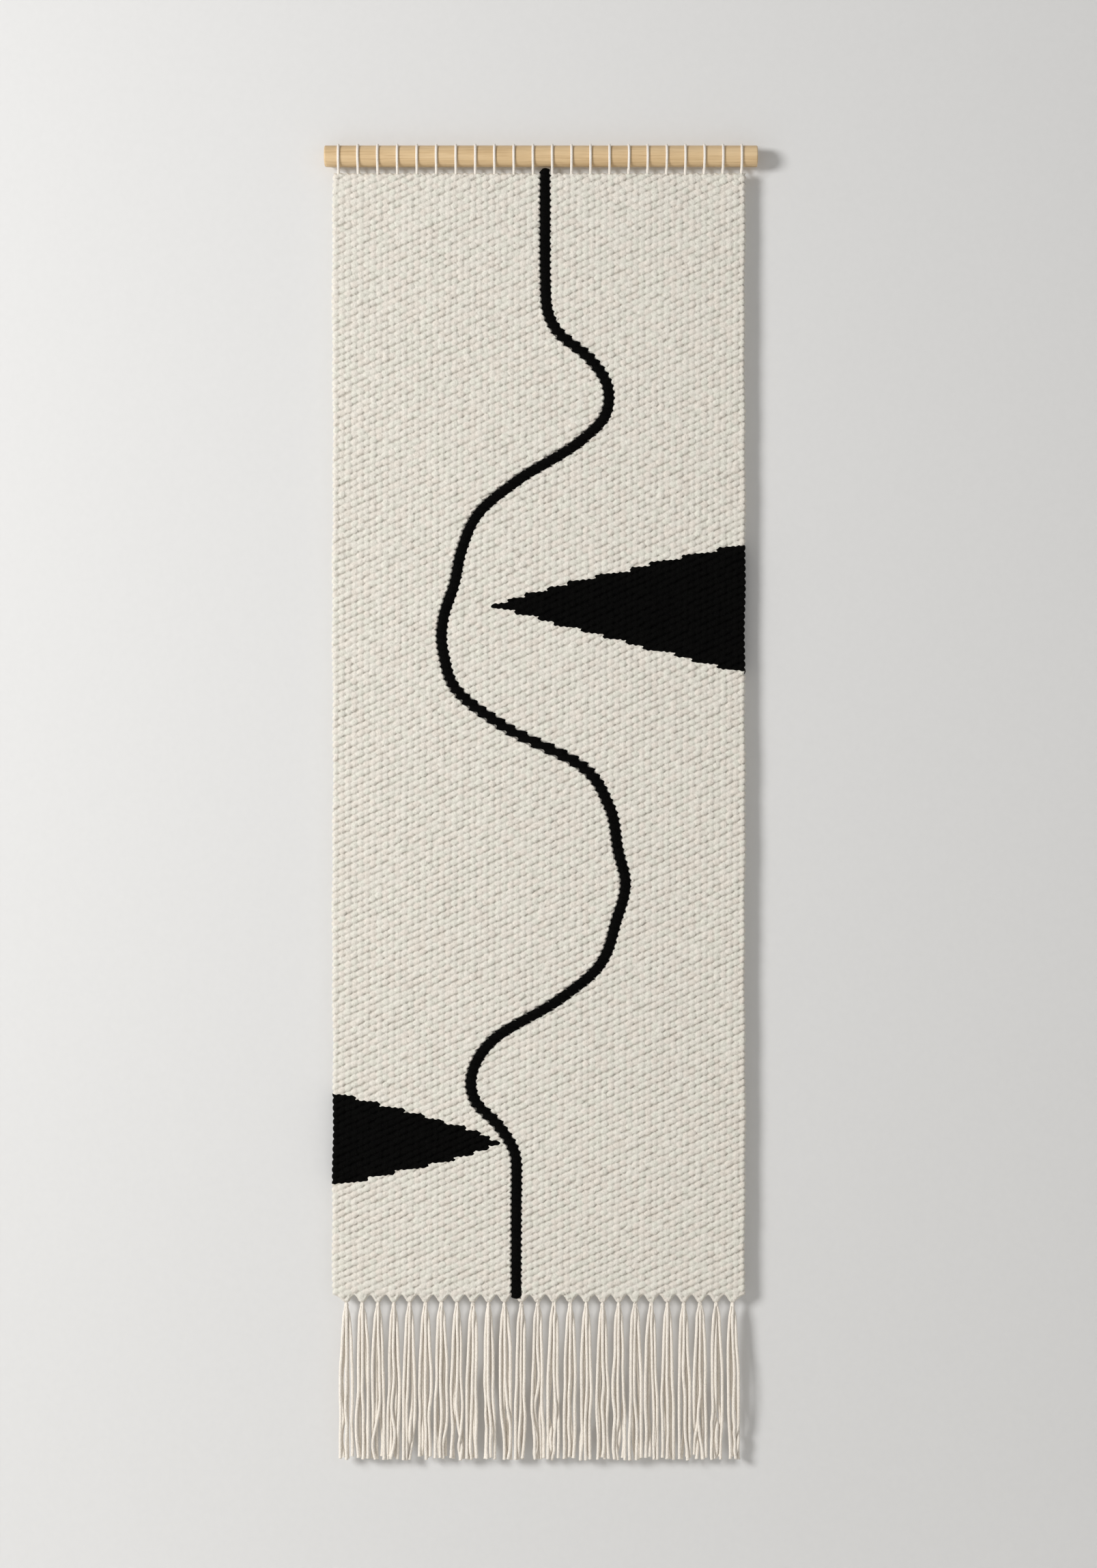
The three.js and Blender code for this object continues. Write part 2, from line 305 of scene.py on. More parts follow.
def yarn_material(name, light, mid, deep, tint, fibre_depth, sheen, crease_shade, gloss=0.2, rough=0.92):
    """Spun cotton: slow changes of tone, painted shade in the creases and a fine fibre relief."""
    n = Nodes(name)
    drift = n.noise(9.0, 3.0)
    blotch = n.noise(95.0, 2.0)
    fibre = n.noise(1100.0, 3.0, 0.6, n.stretched((1.0, 1.0, 1.8)))
    fleck = n.noise(680.0, 2.0, 0.6)
    tone = n.ramp(blotch, [(0.3, mid), (0.62, light)])
    stitch = n.attribute("tone")
    warm, cool = (1.0, 0.965, 0.955), (0.965, 0.995, 0.975)
    hue = n.ramp(stitch, [(0.1, warm), (0.5, (1, 1, 1)), (0.9, cool)])
    tone = n.mix(0.8, tone, hue, "MULTIPLY")
    tone = n.mix(n.math("MULTIPLY", drift, 0.35), tone, tint)
    speck = n.ramp(fleck, [(0.34, (1, 1, 1)), (0.5, (0, 0, 0))])
    tone = n.mix(n.math("MULTIPLY", speck, 0.3), tone, deep)
    # Painted shade: points low in the relief (creases between stitches, grooves between plies and
    # rows) are mixed towards the deep colour
    relief = n.ramp(n.attribute("relief"), [(0.1, (1, 1, 1)), (0.66, (0, 0, 0))])
    tone = n.mix(n.math("MULTIPLY", relief, crease_shade), tone, deep)
    bump = n.bump(fibre, 0.6 * fibre_depth)
    bump = n.bump(fleck, 1.6 * fibre_depth, 1.0, bump)
    constants = {"Sheen_Weight": sheen, "Sheen_Roughness": 0.5, "Specular_IOR_Level": gloss}
    return n.finish(tone, rough, bump, **constants)


def wood_material():
    """Pale straight-grained dowel, with the grain along X."""
    n = Nodes("pale_wood")
    broad = n.noise(1.0, 3.0, 0.55, n.stretched((5.0, 90.0, 90.0)))
    fine = n.noise(1.0, 4.0, 0.65, n.stretched((14.0, 520.0, 520.0)))
    pores = n.noise(1.0, 2.0, 0.5, n.stretched((45.0, 1500.0, 1500.0)))
    colour = n.ramp(broad, [
        (0.3, (0.54, 0.38, 0.2)), (0.5, (0.66, 0.485, 0.28)), (0.7, (0.73, 0.56, 0.345)),
    ])
    streak = n.ramp(fine, [(0.36, (0.40, 0.25, 0.12)), (0.52, (0.64, 0.46, 0.26))])
    colour = n.mix(0.38, colour, streak)
    dark = n.ramp(pores, [(0.33, (0.75, 0.68, 0.6)), (0.45, (1, 1, 1))])
    colour = n.mix(0.3, colour, dark, "MULTIPLY")
    bump = n.bump(fine, 0.25 * MM, 0.5)
    bump = n.bump(pores, 0.15 * MM, 0.6, bump)
    rough = n.math("ADD", n.math("MULTIPLY", fine, 0.25), 0.42)
    return n.finish(colour, rough, bump, Specular_IOR_Level=0.35)


# -------------------------------------------------------------------- frame

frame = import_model()
cad_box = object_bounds()

left_low, left_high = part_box("cream_left")
_, right_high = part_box("cream_right")
rod_low, rod_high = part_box("rod")
LEFT, RIGHT = left_low.x, right_high.x
TOP, NOTCH = left_high.z, left_low.z + HEM_POINT
WIDTH, LENGTH = RIGHT - LEFT, TOP - NOTCH
ROD_RADIUS = (rod_high.z - rod_low.z) / 2
joints = {joint["child"]: joint for joint in frame["joints"]}
tassel_bodies = sorted(name for name in frame["bodies"] if name.startswith("tassel"))
tassel_x = np.array([joints[name]["pos_m"][0] for name in tassel_bodies])
PIVOT = joints[tassel_bodies[0]]["pos_m"][2]


def camera():
    """The view from the front."""
    data = bpy.data.cameras.new("camera")
    data.sensor_width = SENSOR
    data.lens = SENSOR * CAMERA_DISTANCE / VIEW_HEIGHT
    data.clip_end = 30
    made = bpy.data.objects.new("camera", data)
    made.location = (VIEW_ACROSS, -CAMERA_DISTANCE, -VIEW_DOWN)
    made.rotation_euler = (math.pi / 2, 0, 0)
    bpy.context.scene.collection.objects.link(made)
    bpy.context.scene.camera = made


camera()
bpy.context.scene.view_settings.view_transform = "Standard"


# -------------------------------------------------------------------- cloth

def line_middle(z):
    """The black line's centre across, at each height."""
    knots = np.array([(LEFT + u * WIDTH, TOP - v * LENGTH) for u, v in LINE_KNOTS])
    x, down = knots[:, 0], -knots[:, 1]
    slope = np.gradient(x, down)
    secant = np.diff(x) / np.diff(down)
    before, after = np.append(0, secant), np.append(secant, 0)
    steepest = 3 * np.minimum(np.abs(before), np.abs(after))
    slope = np.where(before * after > 0, np.sign(slope) * np.minimum(np.abs(slope), steepest), 0)
    at = np.clip(-z, down[0], down[-1])
    k = np.clip(np.searchsorted(down, at) - 1, 0, len(down) - 2)
    step = down[k + 1] - down[k]
    t = (at - down[k]) / step
    return (
        (2 * t**3 - 3 * t**2 + 1) * x[k]
        + (t**3 - 2 * t**2 + t) * step * slope[k]
        + (3 * t**2 - 2 * t**3) * x[k + 1]
        + (t**3 - t**2) * step * slope[k + 1]
    )


def line_slant(z):
    """How much wider than itself the line is across, where it runs at a slant."""
    step = 2 * MM
    slope = (line_middle(z + step) - line_middle(z - step)) / (2 * step)
    return np.sqrt(1 + slope**2)


def stitches(x, z, rise, offset, seed):
    """Each point's relief from the slanted ovals, 0 to about 1, its rib and its oval's tint."""
    local = np.random.default_rng(seed)
    pitch, row = WIDTH / COLUMNS, LENGTH / ROWS
    count = (COLUMNS + 8, ROWS + 2 * COLUMNS + 12)
    shift_x = local.normal(0, STITCH_WANDER, count)
    shift_z = local.normal(0, STITCH_WANDER, count)
    tall = 1 + local.normal(0, 0.09, count)
    long = 1 + local.normal(0, 0.08, count)
    wide = 1 + local.normal(0, 0.05, count)
    turn = math.atan2(rise * row, pitch) + math.copysign(STITCH_TWIST, rise)
    turn = turn + local.normal(0, STITCH_SWAY, count)
    shade = local.random(count)
    best = np.zeros(x.shape)
    tone = np.zeros(x.shape)
    rib = np.zeros(x.shape, int)
    nearest = np.full(x.shape, np.inf)
    column = np.floor((x - LEFT) / pitch - 0.5 + offset)
    for step in (-1, 0, 1, 2):
        c = column + step
        middle = LEFT + (c + 0.5 - offset) * pitch
        place = (TOP - z + rise * row * c) / row - 0.5 + offset / 2
        for down in (0, 1):
            k = np.floor(place) + down
            ci = np.clip(c + 3, 0, count[0] - 1).astype(int)
            ki = np.clip(k + (COLUMNS + 5 if rise < 0 else 5), 0, count[1] - 1).astype(int)
            dx = x - middle - shift_x[ci, ki]
            dz = (place - k) * -row - shift_z[ci, ki]
            cos, sin = np.cos(turn[ci, ki]), np.sin(turn[ci, ki])
            along = (dx * cos + dz * sin) / (STITCH_LENGTH * long[ci, ki])
            aside = (dz * cos - dx * sin) / (STITCH_WIDTH * wide[ci, ki])
            far = along**2 + aside**2
            height = tall[ci, ki] * np.sqrt(np.clip(1 - far, 0, 1))
            best = np.maximum(best, height)
            closer = far < nearest
            rib[closer] = k[closer]
            tone[closer] = shade[ci, ki][closer]
            nearest = np.minimum(nearest, far)
    return best, rib, tone


def hem_shift(x):
    """How far the hem's edge moves across and down: round arches between narrow points."""
    edges = np.concatenate([[LEFT], (tassel_x[1:] + tassel_x[:-1]) / 2, [RIGHT]])
    at = np.clip(np.searchsorted(edges, x) - 1, 0, len(tassel_x) - 1)
    point = tassel_x[at]
    reach = np.where(x < point, point - edges[at], edges[at + 1] - point)
    away = np.abs(x - point)
    flat = 0.28 * reach  # this much of the edge becomes the point itself
    share = np.clip((reach - away) / (reach - flat), 0, 1)
    arch = HEM_NECK + (reach - HEM_NECK) * (1 - share)
    new = np.where(away < flat, away / flat * HEM_NECK, arch)
    return np.sign(x - point) * (new - away), HEM_DROP * share**1.8


def line_edge(z, side):
    """The line's half width on one side: points between the rounded stitches beside it."""
    phase = ((TOP - z) / LINE_RIB + np.where(side < 0, 0.15, 0.6)) % 1
    return LINE_HALF_WIDTH + LINE_TOOTH * np.abs(2 * phase - 1) ** 2.4


def colours(x, z):
    """Which woven area each cell belongs to: 0 none, 1 left, 2 right, 3 and 4 the wedges."""
    pitch = WIDTH / COLUMNS
    middle = line_middle(z)
    bed = LINE_BED * line_slant(z)
    area = np.where(x < middle, 1, 2)
    waved = z + WEDGE_WAVE * (np.abs(np.sin(np.pi * (x - LEFT) / pitch)) - 0.6)
    for number, (_, side, tip, base, blunt) in enumerate(WEDGES):
        tip_x, tip_z = LEFT + tip[0] * WIDTH, TOP - tip[1] * LENGTH
        high, low = TOP - base[0] * LENGTH, TOP - base[1] * LENGTH
        edge = RIGHT if side > 0 else LEFT
        lean = WEDGE_TILT * abs(edge - tip_x)
        tilted = waved - WEDGE_TILT * np.abs(x - tip_x) * np.sign(z - tip_z)
        r = np.floor((tip_z - tilted) / WEDGE_STEP + 0.5).astype(int)
        level = tip_z - r * WEDGE_STEP
        above = level > tip_z
        up, down = high - tip_z - lean, tip_z - low - lean
        share = np.where(above, (level - tip_z) / up, (tip_z - level) / down)
        share = np.clip(share, 0, None) ** np.where(above, *blunt)
        local = np.random.default_rng(SEED + 5 + number)
        wander = local.uniform(-WEDGE_UNEVEN, WEDGE_UNEVEN, ROWS)
        wander = (wander[np.clip(r + ROWS // 2, 0, ROWS - 1)] - 0.02) * (np.abs(r) > 1)
        inner = tip_x + (share + wander) * (edge - tip_x)
        nib = 1.4 * np.abs(level - tilted)
        inside = (side * (x - inner) - nib > 0) & (share <= 1)
        area[inside & (side * (x - middle) > 0)] = 3 + number
    area[np.abs(x - middle) < bed] = 0
    return area


def soften_borders(x, z, area):
    """Rounds the steps of the grid where two colours meet, and marks those points."""
    ni, nj = area.shape
    padded = np.zeros((ni + 2, nj + 2), int)
    padded[1:-1, 1:-1] = np.where(area < 3, 1, 2)
    flat = padded[1:, 1:-1] != padded[:-1, 1:-1]
    upright = padded[1:-1, 1:] != padded[1:-1, :-1]
    flat[0], flat[-1] = False, False
    upright[:, 0], upright[:, -1] = False, False
    for _ in range(3):
        sums = np.zeros((*x.shape, 2))
        count = np.zeros(x.shape)
        here = np.stack([x, z], -1)
        sums[:, :-1][flat] += here[:, 1:][flat]
        count[:, :-1][flat] += 1
        sums[:, 1:][flat] += here[:, :-1][flat]
        count[:, 1:][flat] += 1
        sums[:-1][upright] += here[1:][upright]
        count[:-1][upright] += 1
        sums[1:][upright] += here[:-1][upright]
        count[1:][upright] += 1
        move = count == 2
        move[0] = move[-1] = False
        move[:, 0] = move[:, -1] = False
        x = np.where(move, 0.5 * x + 0.25 * sums[..., 0], x)
        z = np.where(move, 0.5 * z + 0.25 * sums[..., 1], z)
    border = np.zeros(x.shape)
    border[:, :-1][flat] = border[:, 1:][flat] = 1
    border[:-1][upright] = border[1:][upright] = 1
    return x, z, border


def slow_wave(x, z, seed):
    """A gentle unevenness over the whole cloth, under 1 in size."""
    local = np.random.default_rng(seed)
    total = np.zeros(x.shape)
    for wide, tall in ((0.45, 0.6), (0.22, 0.34), (0.12, 0.19)):
        a, b = local.uniform(0, 2 * np.pi, 2)
        turn = local.uniform(-0.5, 0.5)
        ripple = np.sin(2 * np.pi * (x / wide + turn * z) + a)
        total += wide * ripple * np.cos(2 * np.pi * z / tall + b)
    return total


def cloth_grid():
    """The front and back of the whole cloth on one grid, and the area and rib of each cell."""
    pitch, row = WIDTH / COLUMNS, LENGTH / ROWS
    across, down = COLUMNS * CELLS_ACROSS, ROWS * CELLS_DOWN
    x0 = LEFT + np.arange(across + 1) * pitch / CELLS_ACROSS
    z0 = TOP - np.arange(down + 1) * row / CELLS_DOWN
    x, z = np.meshgrid(x0, z0)
    mid_x, mid_z = np.meshgrid((x0[1:] + x0[:-1]) / 2, (z0[1:] + z0[:-1]) / 2)
    area = colours(mid_x, mid_z)
    _, rib, _ = stitches(mid_x, mid_z, RISE, 0, SEED)

    # rounded selvedges, with a small scallop at each row
    edge = np.minimum(x - LEFT, RIGHT - x)
    side = np.where(x - LEFT < RIGHT - x, -1, 1)
    phase = (TOP - z) / row + RISE * ((x - LEFT) / pitch - 0.5)
    wander = 0.4 * MM * np.sin(z * 61 + side) + 0.5 * MM * np.sin(z * 17 + 2 * side)
    bulge = SCALLOP * (np.sqrt(1 - (2 * (phase % 1) - 1) ** 2) - 0.75)
    fade = smoothstep(EDGE_FADE, 0, edge)
    x = x + side * (bulge + wander) * fade
    round_side = rounded(edge / SELVEDGE, 0.02)
    head, foot = TOP - z, z - NOTCH
    round_head = rounded(head / EDGE_ROUND, 0.05)
    round_foot = rounded(foot / EDGE_ROUND, 0.2)

    # cloth beside the line: rounded stitch ends lap over it, and the rest dips under
    middle, slant = line_middle(z), line_slant(z)
    away = np.abs(x - middle) / slant
    beside = smoothstep(-0.5 * MM, 1.0 * MM, away - line_edge(z, np.sign(x - middle)))

    # hem: the last rows are drawn down and gathered to the points
    hem_x, hem_z = hem_shift(x)
    pull = np.clip(1 - foot / HEM_STRETCH, 0, 1) ** 1.5
    gather = np.clip(1 - foot / HEM_GATHER, 0, 1) ** 1.5
    top_wave = 0.6 * MM * np.sin(2 * np.pi * (x - LEFT) / pitch) * smoothstep(5 * MM, 0, head)
    x, z, border = soften_borders(x, z, area)
    z = z - hem_z * pull + top_wave
    x = x + hem_x * gather
    front, _, tone = stitches(x, z, RISE, 0, SEED)
    back, _, _ = stitches(x, z, -RISE, 0.5, SEED + 1)

    dip = 1 - 0.22 * border
    hold = round_side * round_head * round_foot * beside
    wave = SWELL * slow_wave(x, z, SEED + 2)
    wave *= smoothstep(0, SWELL_FADE, foot) * smoothstep(0, SWELL_FADE, head)
    y_front = wave - (CORE + STITCH_HEIGHT * front * dip) * hold
    y_back = wave + (CORE + STITCH_HEIGHT * back * dip) * hold
    return x, z, y_front, y_back, front * dip, back * dip, area, rib, tone


def surface_normals(x, y, z, side):
    """The directions the whole woven face points in, so that joins between its parts don't show."""
    down = np.gradient(np.stack([x, y, z]), axis=1)
    across = np.gradient(np.stack([x, y, z]), axis=2)
    normal = np.cross(down, across, axis=0)
    normal *= side * np.sign(normal[1].sum()) / np.linalg.norm(normal, axis=0)
    return normal.reshape(3, 1, -1)


def with_flat_walls(corner_normals, verts, faces, smooth):
    """The same directions, with the thin walls round a woven area left flat."""
    a, b, c = (verts[faces[~smooth, k]] for k in (0, 1, 2))
    wall = np.cross(b - a, c - b)
    wall /= np.linalg.norm(wall, axis=1)[:, None] + 1e-12
    corner_normals = corner_normals.reshape(-1, 4, 3).copy()
    corner_normals[~smooth] = wall[:, None]
    return corner_normals.reshape(-1, 3)


def area_mesh(name, grid, mask):
    """A closed solid of the masked cells: front, back and the walls round them."""
    x, z, y_front, y_back, front, back, _, _, tone = grid
    high, wide = x.shape
    j, i = np.nonzero(mask)
    corner = lambda dj, di: (j + dj) * wide + i + di
    a, b, c, d = corner(0, 0), corner(1, 0), corner(1, 1), corner(0, 1)
    used = np.unique(np.concatenate([a, b, c, d]))
    index = np.full(high * wide, -1)
    index[used] = np.arange(len(used))
    a, b, c, d = index[a], index[b], index[c], index[d]
    n = len(used)
    padded = np.zeros((mask.shape[0] + 2, mask.shape[1] + 2), bool)
    padded[1:-1, 1:-1] = mask
    beyond = {
        "left": ~padded[1:-1, :-2][mask], "right": ~padded[1:-1, 2:][mask],
        "up": ~padded[:-2, 1:-1][mask], "down": ~padded[2:, 1:-1][mask],
    }
    faces = [np.stack([a, b, c, d], 1), np.stack([d, c, b, a], 1) + n]
    walls = {"left": (a, b), "down": (b, c), "right": (c, d), "up": (d, a)}
    for where, (p, q) in walls.items():
        p, q = p[beyond[where]], q[beyond[where]]
        faces.append(np.stack([q, p, p + n, q + n], 1))
    flat = lambda array: array.ravel()[used]
    verts = np.concatenate([
        np.stack([flat(x), flat(y_front), flat(z)], 1),
        np.stack([flat(x), flat(y_back), flat(z)], 1),
    ])
    smooth = np.concatenate([np.full(len(f), k < 2) for k, f in enumerate(faces)])
    faces = np.concatenate(faces)
    made = mesh_object(name, verts, faces, smooth)
    before, behind = surface_normals(x, y_front, z, -1), surface_normals(x, y_back, z, 1)
    normals = np.concatenate([before, behind], 1)
    normals = normals.reshape(3, 2, -1)[:, :, used].reshape(3, -1).T
    corner_normals = normals[faces.ravel()]
    made.data.normals_split_custom_set(with_flat_walls(corner_normals, verts, faces, smooth))
    # The stitches' heights, which the material darkens in the creases as painted shade
    mark(made, "relief", np.concatenate([flat(front), flat(back)]))
    mark(made, "tone", np.concatenate([flat(tone), flat(tone)]))
    return made


def split_by_rib(mask, rib):
    """Parts of a field, cut along the creases between ribs so that none is too big."""
    counts = np.bincount(rib[mask] - rib[mask].min())
    parts = math.ceil(mask.sum() / PIECE_CELLS)
    share = np.cumsum(counts) / counts.sum()
    part = np.minimum((share * parts).astype(int), parts - 1)
    number = np.where(mask, part[np.clip(rib - rib[mask].min(), 0, len(part) - 1)], -1)
    return [number == k for k in range(parts)]


def build_cloth(cream, black):
    """The cream fields, cut along their ribs, and the black wedges."""
    grid = cloth_grid()
    area, rib = grid[6], grid[7]
    sheets = {}
    for value, node in ((1, "cream_left"), (2, "cream_right")):
        sheets[node] = []
        for k, mask in enumerate(split_by_rib(area == value, rib)):
            sheets[node].append((area_mesh(f"weave_{node}_{k + 1}", grid, mask), mask, cream))
    for value, (node, *_) in enumerate(WEDGES, 3):
        mask = area == value
        sheets[node] = [(area_mesh(f"weave_{node}", grid, mask), mask, black)]
    for node, made in sheets.items():
        for piece, _, material in made:
            piece.data.materials.append(material)
            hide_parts(node)
            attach(piece, "cloth")
    return grid, sheets


def build_hem(material):
    """The twisted edge of the hem, drawn down to a wound neck above each tassel."""
    made = []
    inset = 2 * MM
    split = line_middle(np.array([NOTCH]))[0]
    local = np.random.default_rng(SEED + 17)
    for side, node in ((-1, "cream_left"), (1, "cream_right")):
        start, stop = (LEFT + inset, split) if side < 0 else (split, RIGHT - inset)
        x = np.arange(start, stop, 0.35 * MM)
        across, down = hem_shift(x)
        for _ in range(4):
            down[1:-1] = 0.5 * down[1:-1] + 0.25 * (down[2:] + down[:-2])
        path = np.stack([x + across, np.zeros(x.shape), NOTCH + 1.2 * MM - down], 1)
        keep = np.append(True, np.linalg.norm(np.diff(path, axis=0), axis=1) > 0.1 * MM)
        parts = [sweep(path[keep], HEM_CORD, 10, 2, HEM_CORD_PITCH, 0.0, 0.25)]
        for place in tassel_x[(tassel_x < split) == (side < 0)]:
            wind = np.linspace(0, 1, 44)
            angle = wind * 2.6 * 2 * np.pi + local.uniform(0, 6)
            ring = HEM_NECK + 0.5 * MM - 0.7 * MM * wind
            z = NOTCH - HEM_DROP + 4.2 * MM - wind * 3.4 * MM
            coil = [place + ring * np.cos(angle), ring * np.sin(angle), z]
            parts.append(sweep(np.stack(coil, 1), 0.9 * MM, 8, 2, 3 * MM))
        piece = joined(f"hem_{node}", parts)
        piece.data.materials.append(material)
        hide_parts(node)
        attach(piece, "cloth")
        made.append(piece)
    return made


def build_line(material):
    """The black line: a flat ribbed cord in rows, stepped where it runs at a slant."""
    sides, step = 28, 0.55 * MM
    top, bottom = TOP + LINE_RISE, NOTCH - LINE_TAIL
    levels = np.linspace(top, bottom, int((top - bottom) / step) + 1)
    row_number = (top - levels) / LINE_RIB
    phase = row_number % 1
    row_level = np.clip(top - (np.floor(row_number) + 0.5) * LINE_RIB, NOTCH, TOP)
    middle = 0.45 * line_middle(levels) + 0.55 * line_middle(row_level)
    slant = line_slant(np.clip(levels, NOTCH, TOP))
    bulge = np.sqrt(1 - (2 * phase - 1) ** 2)
    end = np.minimum(top - levels, levels - bottom)
    taper = np.sqrt(np.clip(1 - (1 - np.clip(end / LINE_HALF_WIDTH, 0, 1)) ** 2, 0.0009, 1))
    local = np.random.default_rng(SEED + 3)
    rows = np.arange(int(row_number[-1]) + 3)
    uneven = np.interp(row_number, rows, local.normal(0, 0.2 * MM, len(rows)))
    groove = 1.0 * MM
    deep = (LINE_HALF_DEPTH - groove + groove * bulge) * taper
    turn = np.linspace(0, 2 * np.pi, sides, endpoint=False)
    cos, sin = np.cos(turn), np.sin(turn)
    round_x = np.sign(cos) * np.abs(cos) ** 0.8
    round_y = np.sign(sin) * np.abs(sin) ** 0.8
    edges = np.stack([line_edge(levels, -1), line_edge(levels, 1)])
    half = ((edges * slant + uneven) * taper)[(cos > 0).astype(int)].T
    xs = middle[:, None] + half * round_x
    ys = deep[:, None] * round_y
    zs = np.repeat(levels[:, None], sides, 1)
    verts, faces = tube_faces(xs, ys, zs)
    made = mesh_object("ribbed_line", verts, faces)
    # Low in the grooves between the rows, so that the material paints shade there
    shade = np.repeat((0.25 + 0.75 * bulge)[:, None], sides, 1).ravel()
    mark(made, "relief", np.append(shade, [1, 1]))
    made.data.materials.append(material)
    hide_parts("line")
    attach(made, "cloth")
    return made


def tube_faces(xs, ys, zs):
    """Points and faces of a closed tube from rings, each end closed to one middle point."""
    rings, sides = xs.shape
    verts = np.stack([xs, ys, zs], -1).reshape(-1, 3)
    ends = np.stack([verts[:sides].mean(0), verts[-sides:].mean(0)])
    k = np.arange(rings - 1)[:, None] * sides
    s = np.arange(sides)[None, :]
    t = (s + 1) % sides
    quads = np.stack([k + s, k + sides + s, k + sides + t, k + t], -1).reshape(-1, 4)
    first, last = len(verts), len(verts) + 1
    even = np.arange(0, sides, 2)
    head = np.stack([np.full(len(even), first), even, (even + 1) % sides, (even + 2) % sides], 1)
    base = (rings - 1) * sides
    foot = np.stack([
        np.full(len(even), last), base + (even + 2) % sides, base + (even + 1) % sides, base + even,
    ], 1)
    return np.concatenate([verts, ends]), np.concatenate([quads, head, foot])


def sweep(path, radius, sides, plies=0, pitch=1.0, phase=0.0, ply_depth=0.13, squeeze=1.0):
    """A tube along a path. With plies, its surface has that many strands twisted round it."""
    along = np.gradient(path, axis=0)
    along /= np.linalg.norm(along, axis=1)[:, None]
    normal = np.zeros_like(path)
    guess = np.array([0.0, 1.0, 0.0]) if abs(along[0][1]) < 0.9 else np.array([1.0, 0.0, 0.0])
    for k, tangent in enumerate(along):
        guess = guess - tangent * guess.dot(tangent)
        guess /= np.linalg.norm(guess)
        normal[k] = guess
    other = np.cross(along, normal)
    far = np.concatenate([[0], np.cumsum(np.linalg.norm(np.diff(path, axis=0), axis=1))])
    turn = np.linspace(0, 2 * np.pi, sides, endpoint=False)[None, :]
    r = np.broadcast_to(np.asarray(radius, float), (len(path),))[:, None] * np.ones((1, sides))
    shade = np.ones(r.shape)
    if plies:
        lobes = np.abs(np.cos(plies / 2 * (turn - 2 * np.pi * far[:, None] / pitch) + phase))
        r = r * (1 - ply_depth + ply_depth * lobes)
        # Low between the plies, so that the material paints shade in those grooves
        shade = 0.15 + 0.85 * lobes
    points = path[:, None] + r[..., None] * (
        squeeze * np.cos(turn)[..., None] * normal[:, None] + np.sin(turn)[..., None] * other[:, None]
    )
    verts, faces = tube_faces(points[..., 0], points[..., 1], points[..., 2])
    return verts, faces, np.concatenate([shade.ravel(), [1, 1]])


def joined(name, parts):
    """One mesh of several tubes, with their relief, which the material turns into painted shade."""
    verts, faces, shades, count = [], [], [], 0
    for v, f, s in parts:
        verts.append(v)
        faces.append(f + count)
        shades.append(s)
        count += len(v)
    made = mesh_object(name, np.concatenate(verts), np.concatenate(faces))
    mark(made, "relief", np.concatenate(shades))
    return made


def strand_paths():
    """Every strand's middle, pushed apart so that no two of a tassel share a place."""
    local = np.random.default_rng(SEED + 7)
    count = len(tassel_x)
    low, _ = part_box("tassel_01")
    length = PIVOT - low.z
    steps = int(length / STRAND_STEP)
    down = np.linspace(0, 1, steps)
    spread = 0.04 + 0.68 * smoothstep(0, 0.25, down) + 0.28 * smoothstep(0.2, 0.6, down)
    room = np.diff(tassel_x).min() / 2 - STRAND_RADIUS - 0.35 * MM
    base = np.linspace(-1, 1, STRANDS)[None, :] + local.normal(0, 0.14, (count, STRANDS))
    base = base * room * 0.9
    depth = np.tile([-1.7, 1.9, -2.1, 2.1, -1.5], (count, 1)) * MM
    depth = depth + local.normal(0, 0.5 * MM, depth.shape)
    x = base[..., None] * spread
    y = depth[..., None] * (0.4 + 0.6 * smoothstep(0, 0.2, down))
    for waves, size in ((1.1, 1.8), (2.4, 1.2), (4.6, 0.45)):
        for target in (x, y):
            phase = local.uniform(0, 2 * np.pi, (count, STRANDS, 1))
            amount = local.normal(0, size * MM, (count, STRANDS, 1))
            target += amount * np.sin(waves * 2 * np.pi * down + phase) * smoothstep(0.1, 0.9, down)
    drift = local.normal(0, 1.9 * MM, (count, 1, 1)) * smoothstep(0.2, 1, down)
    x = x + drift
    near = 2 * STRAND_RADIUS * 1.02
    tight = smoothstep(0, 0.1, down)
    for _ in range(60):
        for a in range(STRANDS):
            for b in range(a + 1, STRANDS):
                dx, dy = x[:, a] - x[:, b], y[:, a] - y[:, b]
                gap = np.hypot(dx, dy) + 1e-9
                push = np.clip(near * (0.3 + 0.7 * tight) - gap, 0, None) / 2 / gap
                x[:, a] += dx * push
                x[:, b] -= dx * push
                y[:, a] += dy * push
                y[:, b] -= dy * push
        x[..., 1:-1] = 0.5 * x[..., 1:-1] + 0.25 * (x[..., 2:] + x[..., :-2])
        y[..., 1:-1] = 0.5 * y[..., 1:-1] + 0.25 * (y[..., 2:] + y[..., :-2])
        x = np.clip(x, -room, room)
        y = np.clip(y, -FRINGE_DEPTH, FRINGE_DEPTH)
    trim = 1 - np.abs(local.normal(0, 0.011, (count, STRANDS)))
    return x, y, down, length, trim


